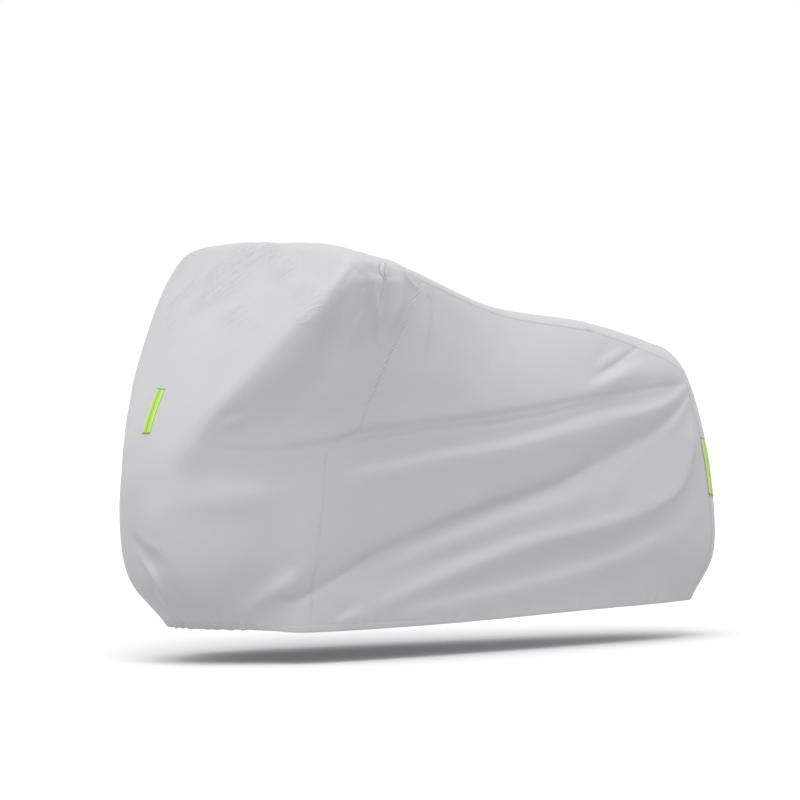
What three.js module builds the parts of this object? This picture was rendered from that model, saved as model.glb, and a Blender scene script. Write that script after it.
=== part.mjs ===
// Fitted motorcycle cover of thin coated cloth: a front hood, two rear side panels, a strip along the seat and down
// the back, and two reflective strips sewn on. The cover hangs hollow and open below, from one place under its top.
// Millimetres. +X runs to the rear, -Y is the near side, +Z is up. The origin is on the inner face of the top.
import * as THREE from 'three';

// Cloth and seams
const SHEET = 2;
const SEAM_INSET = 0.3;
const HANG_HEIGHT = 1164;

// Reflective strips
const STRIP_WIDTH = 42;
const STRIP_LENGTH = 146;
const STRIP_THICKNESS = 1.2;
const STRIP_CLEARANCE = 0.8;

const CLOTH_COLOUR = 0xb9b9bd;
const STRIP_COLOUR = 0xaad246;

// One row for each line that runs from the top of the cover down to its hem, from the middle of the front, round
// the near side, to the middle of the back. Heights are above the ground, and out is the half width. steps is the
// number of grid steps to the next row, and crown is how far the top swells between its middle and its shoulder.
const STATIONS = [
  { name: 'nose', steps: 3, crown: 10, spine: { x: 0, z: 1166 }, shoulder: { x: -85, out: 0, z: 1132 },
    chest: { x: -330, out: 0, z: 830 }, waist: { x: -458, out: 0, z: 560 },
    knee: { x: -453, out: 0, z: 258 }, hem: { x: -340, out: 0, z: 100 } },
  { name: 'brow', steps: 4, crown: 6, spine: { x: 10, z: 1166 }, shoulder: { x: -70, out: 205, z: 1132 },
    chest: { x: -280, out: 155, z: 850 }, waist: { x: -435, out: 100, z: 570 },
    knee: { x: -440, out: 85, z: 260 }, hem: { x: -320, out: 55, z: 100 } },
  { name: 'corner', steps: 7, crown: 10, spine: { x: 30, z: 1165 }, shoulder: { x: -36, out: 398, z: 1118 },
    chest: { x: -228, out: 320, z: 860 }, waist: { x: -382, out: 175, z: 590 },
    knee: { x: -378, out: 158, z: 260 }, hem: { x: -272, out: 110, z: 98 } },
  { name: 'drop', steps: 7, crown: 8, spine: { x: 150, z: 1158 }, shoulder: { x: 105, out: 388, z: 1100 },
    chest: { x: -40, out: 372, z: 850 }, waist: { x: -185, out: 287, z: 590 },
    knee: { x: -215, out: 245, z: 310 }, hem: { x: -170, out: 190, z: 95 } },
  { name: 'seam', steps: 9, crown: 4, spine: { x: 400, z: 1100 }, shoulder: { x: 300, out: 290, z: 1060 },
    chest: { x: 140, out: 358, z: 850 }, waist: { x: 34, out: 324, z: 600 },
    knee: { x: -50, out: 300, z: 350 }, hem: { x: -65, out: 270, z: 90 } },
  { name: 'seat', steps: 8, crown: 6, spine: { x: 740, z: 982 }, shoulder: { x: 700, out: 150, z: 955 },
    chest: { x: 610, out: 255, z: 780 }, waist: { x: 540, out: 275, z: 560 },
    knee: { x: 490, out: 270, z: 330 }, hem: { x: 450, out: 250, z: 94 } },
  { name: 'saddle', steps: 9, crown: 8, spine: { x: 1080, z: 932 }, shoulder: { x: 1065, out: 135, z: 900 },
    chest: { x: 1020, out: 200, z: 750 }, waist: { x: 980, out: 225, z: 540 },
    knee: { x: 950, out: 225, z: 330 }, hem: { x: 930, out: 200, z: 105 } },
  { name: 'tail', steps: 4, crown: 8, spine: { x: 1335, z: 866 }, shoulder: { x: 1380, out: 115, z: 796 },
    chest: { x: 1416, out: 135, z: 670 }, waist: { x: 1456, out: 145, z: 500 },
    knee: { x: 1472, out: 146, z: 262 }, hem: { x: 1414, out: 110, z: 112 } },
  { name: 'rear', steps: 0, crown: 4, spine: { x: 1385, z: 850 }, shoulder: { x: 1482, out: 0, z: 770 },
    chest: { x: 1526, out: 0, z: 655 }, waist: { x: 1552, out: 0, z: 480 },
    knee: { x: 1553, out: 0, z: 250 }, hem: { x: 1480, out: 0, z: 114 } },
];
const SEAM_STATION = 4;
const TAIL_STATION = 7;

// Levels of the table, with their usual distance down the cloth from the spine and the grid steps to the next level
const LEVELS = [
  { name: 'spine', distance: 0, steps: 3 },
  { name: 'crown', distance: 130, steps: 4 },
  { name: 'shoulder', distance: 260, steps: 6 },
  { name: 'chest', distance: 510, steps: 8 },
  { name: 'waist', distance: 770, steps: 9 },
  { name: 'knee', distance: 1030, steps: 8 },
  { name: 'hem', distance: 1240, steps: 0 },
];
const SHOULDER_LEVEL = 2;

// The long side seam steps forward where the crease that crosses both panels pulls at it, and runs back lower down
const SEAM_STEP = { size: 0.32, level: 3.8, reach: 0.26, spread: 0.7 };

// Main folds. A path runs over the side as seen from the side, in x and z, or over the front as seen from the
// front, in y and z. rise is the height of the ridge at the start, middle and end of the path, below zero for a
// trough. reach is its half width at the start and end, and right is that of its right side, as seen along the
// path, where the two sides differ. A sharp fold has a crest, the others are round.
const FOLDS = [
  { name: 'edge of the front', face: 'near', sharp: true, rise: [2, 20, 8], reach: [64, 76], right: [30, 36],
    path: [[-34, 1112], [-110, 1036], [-172, 958], [-239, 870], [-315, 751], [-364, 682], [-394, 599]] },
  { name: 'trough below the near corner', face: 'near', rise: [-4, -11, -3], reach: [34, 36], right: [24, 26],
    path: [[-36, 1086], [-58, 1038], [-76, 970], [-72, 880], [-62, 791]] },
  { name: 'ridge below the near corner', face: 'near', rise: [3, 7, 0], reach: [38, 44], right: [26, 32],
    path: [[-6, 1052], [-6, 960], [8, 860]] },
  { name: 'tuck', face: 'near', rise: [2, 7, 5], reach: [20, 22],
    path: [[124, 1120], [98, 1092], [86, 1060]] },
  { name: 'ridge below the tuck', face: 'near', rise: [4, 8, 0], reach: [20, 26],
    path: [[60, 1056], [78, 984], [100, 900]] },
  { name: 'ridge before the seam', face: 'near', rise: [3, 8, 0], reach: [28, 24],
    path: [[165, 1062], [160, 990], [135, 890]] },
  { name: 'ridge behind the seam', face: 'near', rise: [3, 7, 0], reach: [20, 24], right: [34, 44],
    path: [[312, 1010], [302, 930], [282, 810]] },
  { name: 'fold over the long crease', face: 'near', sharp: true, rise: [2, 7, 4], reach: [44, 50], right: [22, 20],
    path: [[-300, 606], [-180, 614], [-37, 634], [78, 656], [241, 668], [516, 688], [837, 714], [1178, 750], [1330, 765]] },
  { name: 'ridge under the long crease', face: 'near', rise: [3, 9, 8], reach: [30, 26], right: [70, 46],
    path: [[38, 503], [434, 556], [829, 606], [1091, 650], [1400, 726]] },
  { name: 'deep valley', face: 'near', sharp: true, rise: [-9, -20, -9], reach: [52, 40], right: [56, 60],
    path: [[-150, 160], [0, 228], [239, 310], [530, 392], [865, 482], [1172, 583], [1346, 675], [1400, 715]] },
  { name: 'ridge under the valley', face: 'near', rise: [2, 7, 2], reach: [30, 34],
    path: [[180, 262], [377, 312], [600, 370], [845, 416], [1050, 455]] },
  { name: 'trough over the swell', face: 'near', rise: [-2, -5, 0], reach: [28, 30],
    path: [[40, 212], [236, 240], [377, 266], [540, 300], [720, 345]] },
  { name: 'crest of the swell', face: 'near', sharp: true, rise: [4, 13, 12], reach: [34, 110], right: [32, 38],
    path: [[99, 135], [237, 170], [526, 260], [828, 326], [1018, 350], [1160, 378], [1281, 425], [1350, 494], [1385, 575]] },
  { name: 'trough under the swell', face: 'near', rise: [-2, -7, -3], reach: [36, 38],
    path: [[430, 178], [849, 258], [1208, 322], [1350, 395], [1430, 560]] },
  { name: 'low ridge to the hem', face: 'near', rise: [3, 6, 2], reach: [28, 32], right: [50, 50],
    path: [[284, 126], [614, 168], [1005, 233], [1268, 322], [1350, 385]] },
  { name: 'ridge at the foot of the valley', face: 'near', rise: [3, 12, 3], reach: [36, 32],
    path: [[-95, 258], [-150, 215], [-230, 148]] },
  { name: 'ridge over the tail', face: 'near', rise: [2, 9, 5], reach: [32, 48], right: [26, 28],
    path: [[930, 732], [1050, 762], [1150, 782], [1300, 792]] },
  { name: 'band across the front', face: 'near', rise: [1, 4, 0], reach: [60, 46], right: [34, 30],
    path: [[-430, 450], [-300, 458], [-110, 474]] },
  { name: 'flap low on the front', face: 'front', rise: [-3, -10, -3], reach: [26, 30],
    path: [[10, 350], [-38, 314], [-74, 282], [-88, 226]] },
  { name: 'ridge low on the front', face: 'front', rise: [3, 8, 3], reach: [20, 22],
    path: [[-21, 318], [-44, 284], [-60, 250], [-66, 205], [-52, 160]] },
  { name: 'far ridge to the tail', face: 'far', rise: [4, 10, 6], reach: [34, 30], right: [60, 40],
    path: [[60, 500], [620, 590], [1380, 720]] },
  { name: 'far valley', face: 'far', sharp: true, rise: [-6, -16, -8], reach: [52, 40], right: [56, 50],
    path: [[-120, 200], [300, 372], [820, 480], [1360, 690]] },
  { name: 'far ridge under the valley', face: 'far', rise: [3, 10, 4], reach: [40, 60], right: [36, 36],
    path: [[200, 230], [700, 345], [1280, 500]] },
  { name: 'far trough below the corner', face: 'far', rise: [-4, -7, 0], reach: [30, 40],
    path: [[10, 1050], [20, 940], [0, 790]] },
  { name: 'far ridge behind the corner', face: 'far', rise: [4, 7, 0], reach: [30, 42],
    path: [[150, 1060], [150, 940], [120, 790]] },
];
const FACES = {
  near: { outward: new THREE.Vector3(0, -1, 0), across: (point) => point.x },
  far: { outward: new THREE.Vector3(0, 1, 0), across: (point) => point.x },
  front: { outward: new THREE.Vector3(-1, 0, 0), across: (point) => point.y },
};
const FACE_FADE = 0.4;
const PATH_STEPS = 18;

// Net of table points: nine rows round half the cover, seven levels down from the spine to the hem
const vector = ({ x, out = 0, z }) => new THREE.Vector3(x, -out, z);
const net = STATIONS.map((row) => {
  const spine = vector(row.spine);
  const shoulder = vector(row.shoulder);
  const crown = spine.clone().lerp(shoulder, 0.5);
  crown.z += row.crown + (spine.z - shoulder.z) / 4;
  return [spine, crown, shoulder, vector(row.chest), vector(row.waist), vector(row.knee), vector(row.hem)];
});
const LAST_ROW = STATIONS.length - 1;
const LAST_LEVEL = LEVELS.length - 1;

const mirrored = (point) => new THREE.Vector3(point.x, -point.y, point.z);

// Past the middle of the front, the back and the top the net goes on as its own mirror image, and past the hem it
// goes on straight, so the cloth is smooth across the middle.
function netPoint(row, level) {
  if (row < 0) return mirrored(netPoint(-row, level));
  if (row > LAST_ROW) return mirrored(netPoint(2 * LAST_ROW - row, level));
  if (level < 0) return mirrored(netPoint(row, -level));
  if (level > LAST_LEVEL) {
    const step = net[row][LAST_LEVEL].clone().sub(net[row][LAST_LEVEL - 1]);
    return net[row][LAST_LEVEL].clone().add(step);
  }
  return net[row][level].clone();
}

// Distances of the net's rows round the cover at waist height, and of its levels down the cloth
const WAIST_LEVEL = 4;
const rowDistances = [0];
for (let row = 1; row <= LAST_ROW; row += 1) {
  rowDistances.push(rowDistances[row - 1] + net[row][WAIST_LEVEL].distanceTo(net[row - 1][WAIST_LEVEL]));
}
const levelDistances = LEVELS.map((level) => level.distance);

// Weights of four neighbouring points of a table, index - 1 to index + 2, for a smooth curve that passes through the
// middle two, sloping at each as its two neighbours do. Distances past either end are mirrored.
function curveWeights(distances, index, share) {
  const last = distances.length - 1;
  const middle = distances[index + 1] - distances[index];
  const before = index > 0 ? distances[index] - distances[index - 1] : middle;
  const after = index + 2 <= last ? distances[index + 2] - distances[index + 1] : middle;
  const square = share * share;
  const cube = square * share;
  const leave = ((cube - 2 * square + share) * middle) / (before + middle);
  const arrive = ((cube - square) * middle) / (middle + after);
  return [-leave, 2 * cube - 3 * square + 1 - arrive, 3 * square - 2 * cube + leave, arrive];
}

// Point of the near half of the smooth cloth, at a row and a level of the net, both with fractions
function smoothPoint(around, down) {
  const below = Math.max((down - SEAM_STEP.level) / SEAM_STEP.reach, 0);
  const aside = (around - SEAM_STATION) / SEAM_STEP.spread;
  const shifted = around - SEAM_STEP.size * below * Math.exp(1 - below - aside * aside);
  const row = THREE.MathUtils.clamp(Math.floor(shifted), 0, LAST_ROW - 1);
  const level = THREE.MathUtils.clamp(Math.floor(down), 0, LAST_LEVEL - 1);
  const rowWeights = curveWeights(rowDistances, row, shifted - row);
  const levelWeights = curveWeights(levelDistances, level, down - level);
  const point = new THREE.Vector3();
  rowWeights.forEach((rowWeight, i) => {
    levelWeights.forEach((levelWeight, j) => {
      point.addScaledVector(netPoint(row + i - 1, level + j - 1), rowWeight * levelWeight);
    });
  });
  return point;
}

// Outward direction of the smooth cloth on the near half, from points a little to each side
function smoothNormal(around, down) {
  const step = 0.02;
  const along = smoothPoint(around + step, down).sub(smoothPoint(around - step, down));
  const below = smoothPoint(around, down + step).sub(smoothPoint(around, down - step));
  return below.cross(along).normalize();
}

// Middle line of each fold, as short straight stretches of a smooth curve
const foldLines = FOLDS.map((fold) => {
  const corners = fold.path.map(([across, z]) => new THREE.Vector3(across, z, 0));
  return new THREE.CatmullRomCurve3(corners).getPoints(PATH_STEPS);
});

// Share of a fold's full height at a distance from its middle line, in half widths
function foldProfile(sharp, distance) {
  const square = distance * distance;
  return Math.exp(sharp ? 0.4 - Math.sqrt(square + 0.16) - 0.2 * square : -square);
}

// Height of all the folds together at a point of the smooth cloth: each is a ridge or trough that is highest on its
// middle line and fades on the sides that face away
function foldHeight(point, normal) {
  let height = 0;
  FOLDS.forEach((fold, index) => {
    const face = FACES[fold.face];
    const facing = THREE.MathUtils.smoothstep(normal.dot(face.outward), 0, FACE_FADE);
    if (facing === 0) return;
    const line = foldLines[index];
    const flat = new THREE.Vector3(face.across(point), point.z, 0);
    let distance = Infinity;
    let place = 0;
    let leftShare = 0.5;
    for (let i = 0; i < PATH_STEPS; i += 1) {
      const stretch = new THREE.Line3(line[i], line[i + 1]);
      const share = stretch.closestPointToPointParameter(flat, true);
      const apart = flat.clone().sub(stretch.at(share, new THREE.Vector3()));
      if (apart.length() < distance) {
        distance = apart.length();
        place = (i + share) / PATH_STEPS;
        const along = stretch.delta(new THREE.Vector3()).normalize();
        leftShare = 0.5 + (0.5 * along.cross(apart).z) / Math.max(distance, 1e-6);
      }
    }
    const [start, middle, end] = fold.rise;
    const firstHalf = THREE.MathUtils.smoothstep(place, 0, 0.5);
    const secondHalf = THREE.MathUtils.smoothstep(place, 0.5, 1);
    const rise = start + (middle - start) * firstHalf + (end - middle) * secondHalf;
    const left = THREE.MathUtils.lerp(fold.reach[0], fold.reach[1], place);
    const right = fold.right ? THREE.MathUtils.lerp(fold.right[0], fold.right[1], place) : left;
    const reach = THREE.MathUtils.lerp(right, left, leftShare);
    height += facing * rise * foldProfile(fold.sharp, distance / reach);
  });
  return height;
}

// Point on the outer face of the cloth, folds included, at a distance off it. side is -1 for the near half and 1
// for the far half.
function clothPoint(around, down, side, off = 0) {
  const point = smoothPoint(around, down);
  const normal = smoothNormal(around, down);
  point.y *= -side;
  normal.y *= -side;
  point.addScaledVector(normal, foldHeight(point, normal) + off);
  point.z -= HANG_HEIGHT;
  return point;
}

// Values of a running place along a table, with each row's own number of steps
function gridPlaces(rows) {
  const places = [0];
  rows.forEach((row, index) => {
    for (let step = 1; step <= row.steps; step += 1) {
      places.push(index + step / row.steps);
    }
  });
  return places;
}

// Grid of the whole cloth: both halves share their points on the middle lines of the front, the back and the top
const aroundPlaces = gridPlaces(STATIONS);
const downPlaces = gridPlaces(LEVELS);
const points = [];
const ids = new Map();

function pointId(side, i, j) {
  const onMiddle = i === 0 || i === aroundPlaces.length - 1 || j === 0;
  const key = `${onMiddle ? -1 : side} ${i} ${j}`;
  if (!ids.has(key)) {
    ids.set(key, points.length);
    const point = clothPoint(aroundPlaces[i], downPlaces[j], onMiddle ? -1 : side);
    if (onMiddle) point.y = 0;
    points.push(point);
  }
  return ids.get(key);
}

// Which panel a grid cell belongs to
function panelName(side, around, down) {
  if (around < SEAM_STATION) return 'front_hood';
  if (around > TAIL_STATION || down < SHOULDER_LEVEL) return 'top_back_strip';
  return side < 0 ? 'side_near' : 'side_far';
}

const panels = { front_hood: [], side_near: [], side_far: [], top_back_strip: [] };
for (const side of [-1, 1]) {
  for (let i = 0; i < aroundPlaces.length - 1; i += 1) {
    for (let j = 0; j < downPlaces.length - 1; j += 1) {
      const around = (aroundPlaces[i] + aroundPlaces[i + 1]) / 2;
      const down = (downPlaces[j] + downPlaces[j + 1]) / 2;
      const corners = [pointId(side, i, j), pointId(side, i, j + 1), pointId(side, i + 1, j + 1), pointId(side, i + 1, j)];
      if (side > 0) corners.reverse();
      panels[panelName(side, around, down)].push({ corners, middle: clothPoint(around, down, side) });
    }
  }
}

// Two triangles of a cell, cut along the diagonal that passes nearer to the cloth at the cell's middle
function cellTriangles({ corners: [a, b, c, d], middle }) {
  const miss = (start, end) => points[start].clone().lerp(points[end], 0.5).distanceToSquared(middle);
  return miss(a, c) <= miss(b, d) ? [[a, b, c], [a, c, d]] : [[a, b, d], [b, c, d]];
}

// Outward direction at every grid point, averaged over the cells of all panels that meet there
function gridNormals() {
  const grid = new THREE.BufferGeometry();
  grid.setAttribute('position', new THREE.Float32BufferAttribute(points.flatMap((point) => point.toArray()), 3));
  grid.setIndex(Object.values(panels).flat().flatMap(cellTriangles).flat());
  grid.computeVertexNormals();
  const normal = grid.getAttribute('normal');
  return points.map((_, id) => new THREE.Vector3().fromBufferAttribute(normal, id));
}

const normals = gridNormals();

// Directed edges that only one cell of a panel has: the panel's own rim
function rimEdges(cells) {
  const edges = new Map();
  for (const { corners } of cells) {
    corners.forEach((start, k) => {
      const end = corners[(k + 1) % corners.length];
      if (!edges.delete(`${end} ${start}`)) edges.set(`${start} ${end}`, [start, end]);
    });
  }
  return [...edges.values()];
}

// Closed sheet of one panel: an outer face, an inner face SHEET below it, and a rim. Points on the rim are drawn in a
// little, so that neighbouring panels stay apart.
function sheetGeometry(cells) {
  const rim = rimEdges(cells);
  const onRim = new Set(rim.flat());
  const inward = new Map([...onRim].map((id) => [id, new THREE.Vector3()]));
  for (const { corners, middle } of cells) {
    for (const id of corners) {
      if (onRim.has(id)) inward.get(id).add(middle.clone().sub(points[id]));
    }
  }
  const order = new Map();
  const outer = [];
  const inner = [];
  for (const id of cells.flatMap((cell) => cell.corners)) {
    if (order.has(id)) continue;
    order.set(id, outer.length);
    const point = points[id].clone();
    if (onRim.has(id)) point.addScaledVector(inward.get(id).normalize(), SEAM_INSET);
    outer.push(point);
    inner.push(point.clone().addScaledVector(normals[id], -SHEET));
  }
  const count = outer.length;
  const faces = [];
  for (const triangle of cells.flatMap(cellTriangles)) {
    const [a, b, c] = triangle.map((id) => order.get(id));
    faces.push([a, b, c], [count + a, count + c, count + b]);
  }
  for (const [start, end] of rim) {
    const a = order.get(start);
    const b = order.get(end);
    faces.push([b, a, count + a], [b, count + a, count + b]);
  }
  return closedGeometry([...outer, ...inner], faces);
}

function closedGeometry(vertices, faces) {
  const geometry = new THREE.BufferGeometry();
  geometry.setAttribute('position', new THREE.Float32BufferAttribute(vertices.flatMap((p) => p.toArray()), 3));
  geometry.setIndex(faces.flat());
  geometry.computeVertexNormals();
  return geometry;
}

// Reflective strips: a narrow plate that lies on the cloth. around is the row under its middle line, at its upper and
// its lower end, and top is the level of its upper end.
const STRIPS = [
  { name: 'reflector_front', around: [-0.09, 0.05], top: 3.24 },
  { name: 'reflector_rear', around: [7.13, 7.13], top: 3.5 },
];
const STRIP_COLUMNS = 4;
const STRIP_ROWS = 7;

// Step along the net that covers a given length of cloth
function netStep(around, down, towards, length) {
  const step = 0.05;
  const start = smoothPoint(around, down);
  const end = smoothPoint(around + step * towards.around, down + step * towards.down);
  return (step * length) / start.distanceTo(end);
}

function stripGeometry({ around, top }) {
  const halfWidth = netStep(around[1], top, { around: 1, down: 0 }, STRIP_WIDTH / 2);
  const length = netStep(around[1], top, { around: 0, down: 1 }, STRIP_LENGTH);
  const vertices = [];
  for (const off of [STRIP_CLEARANCE + STRIP_THICKNESS, STRIP_CLEARANCE]) {
    for (let i = 0; i <= STRIP_COLUMNS; i += 1) {
      for (let j = 0; j <= STRIP_ROWS; j += 1) {
        const middle = THREE.MathUtils.lerp(around[0], around[1], j / STRIP_ROWS);
        const across = middle + halfWidth * ((2 * i) / STRIP_COLUMNS - 1);
        vertices.push(clothPoint(across, top + (length * j) / STRIP_ROWS, -1, off));
      }
    }
  }
  const id = (layer, i, j) => layer * (STRIP_COLUMNS + 1) * (STRIP_ROWS + 1) + i * (STRIP_ROWS + 1) + j;
  const faces = [];
  const cells = [];
  for (let i = 0; i < STRIP_COLUMNS; i += 1) {
    for (let j = 0; j < STRIP_ROWS; j += 1) {
      cells.push({ corners: [id(0, i, j), id(0, i, j + 1), id(0, i + 1, j + 1), id(0, i + 1, j)] });
    }
  }
  const under = id(1, 0, 0);
  for (const { corners: [a, b, c, d] } of cells) {
    faces.push([a, b, c], [a, c, d], [under + a, under + c, under + b], [under + a, under + d, under + c]);
  }
  for (const [a, b] of rimEdges(cells)) {
    faces.push([b, a, under + a], [b, under + a, under + b]);
  }
  return closedGeometry(vertices, faces);
}

function clothMaterial() {
  return new THREE.MeshStandardMaterial({ color: CLOTH_COLOUR, roughness: 0.6, metalness: 0 });
}

function reflectiveMaterial() {
  return new THREE.MeshStandardMaterial({ color: STRIP_COLOUR, roughness: 0.35, metalness: 0 });
}

const cover = new THREE.Group();
for (const [name, cells] of Object.entries(panels)) {
  const panel = new THREE.Mesh(sheetGeometry(cells), clothMaterial());
  panel.name = name;
  cover.add(panel);
}
for (const strip of STRIPS) {
  const plate = new THREE.Mesh(stripGeometry(strip), reflectiveMaterial());
  plate.name = strip.name;
  cover.add(plate);
}

export default cover;
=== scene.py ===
# Looks of the fitted motorcycle cover: four cloth panels with their folds, seams, tuck and hem,
# the thread in them, two reflective strips, and a pale studio. Metres, in the frame of the solids.
import math

import bpy
import numpy as np
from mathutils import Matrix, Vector


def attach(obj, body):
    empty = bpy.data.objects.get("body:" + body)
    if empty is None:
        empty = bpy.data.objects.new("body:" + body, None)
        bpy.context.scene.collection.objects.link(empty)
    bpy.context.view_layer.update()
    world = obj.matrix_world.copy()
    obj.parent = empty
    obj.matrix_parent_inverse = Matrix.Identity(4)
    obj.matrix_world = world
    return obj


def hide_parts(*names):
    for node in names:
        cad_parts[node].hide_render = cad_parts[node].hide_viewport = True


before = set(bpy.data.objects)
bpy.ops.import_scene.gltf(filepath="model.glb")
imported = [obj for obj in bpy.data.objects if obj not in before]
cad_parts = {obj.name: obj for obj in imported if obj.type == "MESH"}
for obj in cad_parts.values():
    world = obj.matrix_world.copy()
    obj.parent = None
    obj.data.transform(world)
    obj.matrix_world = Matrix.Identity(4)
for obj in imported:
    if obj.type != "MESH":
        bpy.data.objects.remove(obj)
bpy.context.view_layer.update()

MM = 0.001

# Camera: a long lens from the front and the near side, a little above the cover
IMAGE_SIZE = 800
FOCAL_PIXELS = 5600
SENSOR_WIDTH = 36
CAMERA_AZIMUTH = math.radians(-36.5)
CAMERA_TILT = math.radians(1.8)
CAMERA_DISTANCE = 16.0
AIM = Vector((0.444, 0.0, -0.447))

camera_data = bpy.data.cameras.new("camera")
camera_data.sensor_width = SENSOR_WIDTH
camera_data.lens = FOCAL_PIXELS / IMAGE_SIZE * SENSOR_WIDTH
camera_data.clip_end = 200
camera = bpy.data.objects.new("camera", camera_data)
bpy.context.collection.objects.link(camera)
towards_camera = Vector((
    math.sin(CAMERA_AZIMUTH) * math.cos(CAMERA_TILT),
    -math.cos(CAMERA_AZIMUTH) * math.cos(CAMERA_TILT),
    math.sin(CAMERA_TILT),
))
camera.location = AIM + towards_camera * CAMERA_DISTANCE
camera.rotation_euler = (-towards_camera).to_track_quat("-Z", "Y").to_euler()
bpy.context.scene.camera = camera

# Draped shape of the cloth. One row for each line from the top down to
# the hem, from the middle of the front round the near side to the middle
# of the back. Millimetres above the ground, and out is the half width.
HANG_HEIGHT = 1164
STATIONS = [
    dict(name="nose", crown=10, spine=(0, 1166), shoulder=(-85, 0, 1132), chest=(-330, 0, 830),
         waist=(-458, 0, 560), knee=(-453, 0, 258), hem=(-340, 0, 100)),
    dict(name="brow", crown=6, spine=(10, 1166), shoulder=(-70, 205, 1132), chest=(-280, 155, 850),
         waist=(-435, 100, 570), knee=(-440, 85, 260), hem=(-320, 55, 100)),
    dict(name="corner", crown=10, spine=(30, 1165), shoulder=(-36, 398, 1118), chest=(-228, 320, 860),
         waist=(-382, 175, 590), knee=(-378, 158, 260), hem=(-272, 110, 98)),
    dict(name="drop", crown=8, spine=(150, 1158), shoulder=(105, 388, 1100), chest=(-40, 372, 850),
         waist=(-185, 287, 590), knee=(-215, 245, 310), hem=(-170, 190, 95)),
    dict(name="seam", crown=4, spine=(400, 1100), shoulder=(300, 290, 1060), chest=(140, 358, 850),
         waist=(34, 324, 600), knee=(-50, 300, 350), hem=(-65, 270, 90)),
    dict(name="seat", crown=6, spine=(740, 982), shoulder=(700, 150, 955), chest=(610, 255, 780),
         waist=(540, 275, 560), knee=(490, 270, 330), hem=(450, 250, 94)),
    dict(name="saddle", crown=8, spine=(1080, 932), shoulder=(1065, 135, 900), chest=(1020, 200, 750),
         waist=(980, 225, 540), knee=(950, 225, 330), hem=(930, 200, 105)),
    dict(name="tail", crown=8, spine=(1335, 866), shoulder=(1380, 115, 796), chest=(1416, 135, 670),
         waist=(1456, 145, 500), knee=(1472, 146, 262), hem=(1414, 110, 112)),
    dict(name="rear", crown=4, spine=(1385, 850), shoulder=(1482, 0, 770), chest=(1526, 0, 655),
         waist=(1552, 0, 480), knee=(1553, 0, 250), hem=(1480, 0, 114)),
]
LEVEL_DISTANCES = np.array([0, 130, 260, 510, 770, 1030, 1240]) * MM
SEAM_ROW = 4
TAIL_ROW = 7
LAST_ROW = 8
SHOULDER_LEVEL = 2
WAIST_LEVEL = 4
HEM_LEVEL = 6
SEAM_STEP = dict(size=0.32, level=3.8, reach=0.26, spread=0.7)
MIRROR = np.array([1.0, -1.0, 1.0])


def table_point(values):
    """A table entry as x, y, z in metres in the frame of the solids, on the near half."""
    x, out, z = values if len(values) == 3 else (values[0], 0, values[1])
    return np.array([x, -out, z - HANG_HEIGHT]) * MM


def cloth_net():
    """Table points as an array of rows by levels by 3, with one extra row or level past each
    border: mirror images past the front, the back and the top, and a straight run past the hem."""
    rows = []
    for row in STATIONS:
        spine = table_point(row["spine"])
        shoulder = table_point(row["shoulder"])
        crown = (spine + shoulder) / 2
        crown[2] += row["crown"] * MM + (spine[2] - shoulder[2]) / 4
        lower = [table_point(row[name]) for name in ("chest", "waist", "knee", "hem")]
        rows.append([spine, crown, shoulder] + lower)
    net = np.array(rows)
    net = np.concatenate([net[1:2] * MIRROR, net, net[-2:-1] * MIRROR])
    past_hem = 2 * net[:, -1:] - net[:, -2:-1]
    return np.concatenate([net[:, 1:2] * MIRROR, net, past_hem], axis=1)


NET = cloth_net()
WAIST_LINE = NET[1:-1, WAIST_LEVEL + 1]
ROW_DISTANCES = np.concatenate([[0], np.cumsum(np.linalg.norm(np.diff(WAIST_LINE, axis=0), axis=1))])


def curve_weights(distances, index, share):
    """Weights of rows index - 1 to index + 2 for a smooth curve through the
    middle two. It is the Hermite curve whose slope at a row is the step from
    the row before to the row after, over the distance between those two."""
    before_first = 2 * distances[0] - distances[1]
    past_last = 2 * distances[-1] - distances[-2]
    padded = np.concatenate([[before_first], distances, [past_last]])
    before = padded[index + 1] - padded[index]
    middle = padded[index + 2] - padded[index + 1]
    after = padded[index + 3] - padded[index + 2]
    leave = (share**3 - 2 * share**2 + share) * middle / (before + middle)
    arrive = (share**3 - share**2) * middle / (middle + after)
    blend = 3 * share**2 - 2 * share**3
    return np.stack([-leave, 1 - blend - arrive, blend + leave, arrive])


def smooth_cloth(around, down):
    """Points of the near half without folds. around counts rows and down counts levels, with fractions, and
    both are arrays of one shape. The rows near the long seam are drawn forward below SEAM_STEP's level."""
    below = np.maximum((down - SEAM_STEP["level"]) / SEAM_STEP["reach"], 0)
    aside = (around - SEAM_ROW) / SEAM_STEP["spread"]
    around = around - SEAM_STEP["size"] * below * np.exp(1 - below - aside**2)
    mirrored = (around < 0) ^ (around > LAST_ROW) ^ (down < 0)
    flip = np.where(mirrored, -1.0, 1.0)
    around = np.abs(around)
    around = np.where(around > LAST_ROW, 2 * LAST_ROW - around, around)
    down = np.abs(down)
    row = np.clip(np.floor(around).astype(int), 0, LAST_ROW - 1)
    level = np.clip(np.floor(down).astype(int), 0, HEM_LEVEL - 1)
    row_weights = curve_weights(ROW_DISTANCES, row, around - row)
    level_weights = curve_weights(LEVEL_DISTANCES, level, down - level)
    points = np.zeros(around.shape + (3,))
    for i in range(4):
        for j in range(4):
            points += (row_weights[i] * level_weights[j])[..., None] * NET[row + i, level + j]
    points[..., 1] *= flip
    return points


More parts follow.
